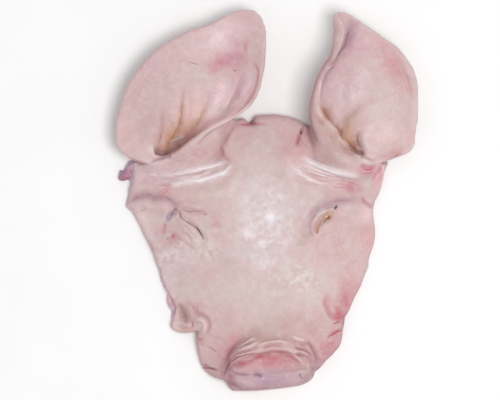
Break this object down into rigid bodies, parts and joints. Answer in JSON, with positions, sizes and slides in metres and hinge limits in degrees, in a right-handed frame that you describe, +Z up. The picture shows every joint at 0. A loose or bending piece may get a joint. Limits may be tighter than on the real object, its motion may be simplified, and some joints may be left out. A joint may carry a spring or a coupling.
{
  "type": "raw pig face",
  "caption": "Raw pig face boned out flat: thick pale skin with both scooped ears, closed eyes, wrinkled snout and a thin meat lining.",
  "frame": {"origin": "under the middle of the whole, on the table that the face lies on", "axes": "+Z up out of the skin side, -Y towards the snout, +Y towards the ears, +X to the viewer's right looking down"},
  "size_m": [0.3016, 0.3816, 0.0599],
  "materials": {
    "skin": "moist pale pink pork skin over fat",
    "meat": "moist purple-red meat with pale fat"
  },
  "bodies": {
    "root": {"face_skin": "skin", "meat_lining": "meat"}
  },
  "joints": []
}
